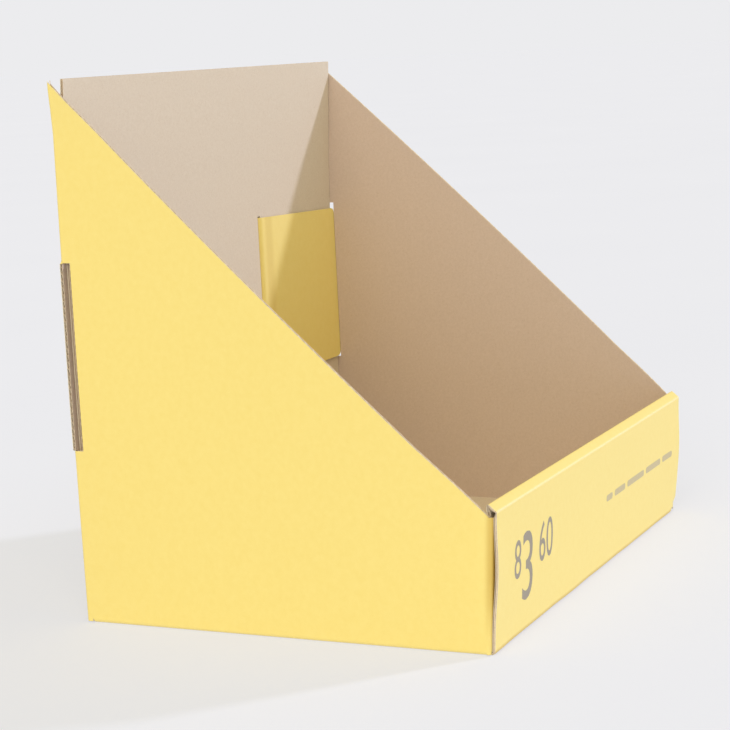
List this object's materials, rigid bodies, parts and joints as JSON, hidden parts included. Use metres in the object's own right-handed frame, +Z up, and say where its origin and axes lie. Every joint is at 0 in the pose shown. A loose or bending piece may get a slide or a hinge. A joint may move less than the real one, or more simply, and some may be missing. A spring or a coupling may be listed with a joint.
{
  "type": "cardboard display stand",
  "caption": "Folded corrugated counter display tray with sloped sides, a tall back, a low rolled front lip and tuck-in locking tabs.",
  "frame": {"origin": "centre of the footprint box, on the surface that the base stands on", "axes": "+X to the right as seen from the open low front, +Y from the front to the back panel, +Z up"},
  "size_m": [0.3072, 0.219, 0.2663],
  "materials": {
    "printed_board": "matt yellow print outside, plain brown liner inside, raw cut edges"
  },
  "bodies": {
    "root": {"display_tray": "printed_board"}
  },
  "joints": []
}
